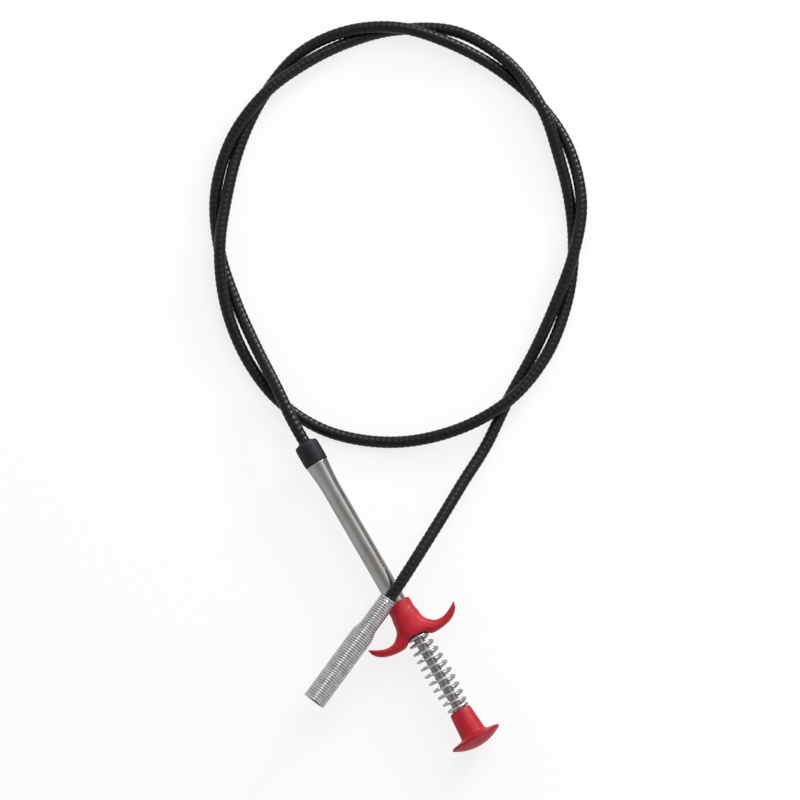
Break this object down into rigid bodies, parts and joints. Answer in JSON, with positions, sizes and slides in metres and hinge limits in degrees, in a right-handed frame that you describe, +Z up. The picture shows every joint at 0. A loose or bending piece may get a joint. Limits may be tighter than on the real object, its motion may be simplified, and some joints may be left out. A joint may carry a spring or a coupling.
{
  "type": "drain auger",
  "caption": "Flexible hand drain auger: a sprung thumb plunger pushes a wire down a long ribbed hose and opens a retracting finger claw at its coil tip.",
  "frame": {"origin": "on the surface the auger lies on, under the handle's axis, less than 1 mm from the handle's middle", "axes": "+X along the handle from the hose end to the thumb knob, +Z up"},
  "size_m": [0.3811, 0.2778, 0.0316],
  "materials": {
    "nickel_tube": "bright nickel plate with faint drawing lines",
    "spring_steel": "bright drawn wire and ground bar",
    "zinc_wire": "bright zinc plate on close-wound wire",
    "brass": "plain turned",
    "red_plastic": "moulded, satin gloss",
    "black_plastic": "moulded, semi-gloss",
    "black_vinyl": "soft vinyl over a wound rib, semi-matt"
  },
  "bodies": {
    "handle": {"handle_tube": "nickel_tube", "tube_end_cap": "black_plastic", "finger_grip": "red_plastic", "guide_bush": "brass", "hose_anchor_ferrule": "brass", "return_spring": "spring_steel", "hose_jacket": "black_vinyl", "hose_liner": "spring_steel", "core_wire": "spring_steel", "tip_coil": "zinc_wire", "tip_ferrule": "brass"},
    "plunger": {"thumb_knob": "red_plastic", "plunger_rod": "spring_steel", "rod_stop_collar": "spring_steel", "wire_crimp_sleeve": "brass", "drive_wire": "spring_steel"},
    "claw": {"claw_hub": "brass", "claw_wire": "spring_steel"},
    "finger_1": {"claw_finger_1": "spring_steel"},
    "finger_2": {"claw_finger_2": "spring_steel"},
    "finger_3": {"claw_finger_3": "spring_steel"},
    "finger_4": {"claw_finger_4": "spring_steel"}
  },
  "joints": [
    {"name": "plunger_slide", "type": "slide", "parent": "handle", "child": "plunger", "axis": [-1, 0, 0], "range_m": [0, 0.028], "stiffness_N_per_m": 400, "springref_m": -0.005, "deforming": ["return_spring"]},
    {"name": "claw_slide", "type": "slide", "parent": "handle", "child": "claw", "axis": [0.4051, -0.9143, 0], "range_m": [0, 0.028]},
    {"name": "finger_1_spread", "type": "hinge", "parent": "claw", "child": "finger_1", "pos_m": [0.01685, -0.03914, 0.02591], "axis": [-0.6465, -0.2865, -0.7071], "range_deg": [0, 16.85]},
    {"name": "finger_2_spread", "type": "hinge", "parent": "claw", "child": "finger_2", "pos_m": [0.01685, -0.03914, 0.02449], "axis": [0.6465, 0.2865, -0.7071], "range_deg": [0, 16.85]},
    {"name": "finger_3_spread", "type": "hinge", "parent": "claw", "child": "finger_3", "pos_m": [0.01815, -0.03857, 0.02449], "axis": [0.6465, 0.2865, 0.7071], "range_deg": [0, 16.85]},
    {"name": "finger_4_spread", "type": "hinge", "parent": "claw", "child": "finger_4", "pos_m": [0.01815, -0.03857, 0.02591], "axis": [-0.6465, -0.2865, 0.7071], "range_deg": [0, 16.85]}
  ],
  "couplings": [
    {"joint": "claw_slide", "follows": "plunger_slide", "ratio": 1},
    {"joint": "finger_1_spread", "follows": "plunger_slide", "rad_per_m": 10.5},
    {"joint": "finger_2_spread", "follows": "plunger_slide", "rad_per_m": 10.5},
    {"joint": "finger_3_spread", "follows": "plunger_slide", "rad_per_m": 10.5},
    {"joint": "finger_4_spread", "follows": "plunger_slide", "rad_per_m": 10.5}
  ]
}
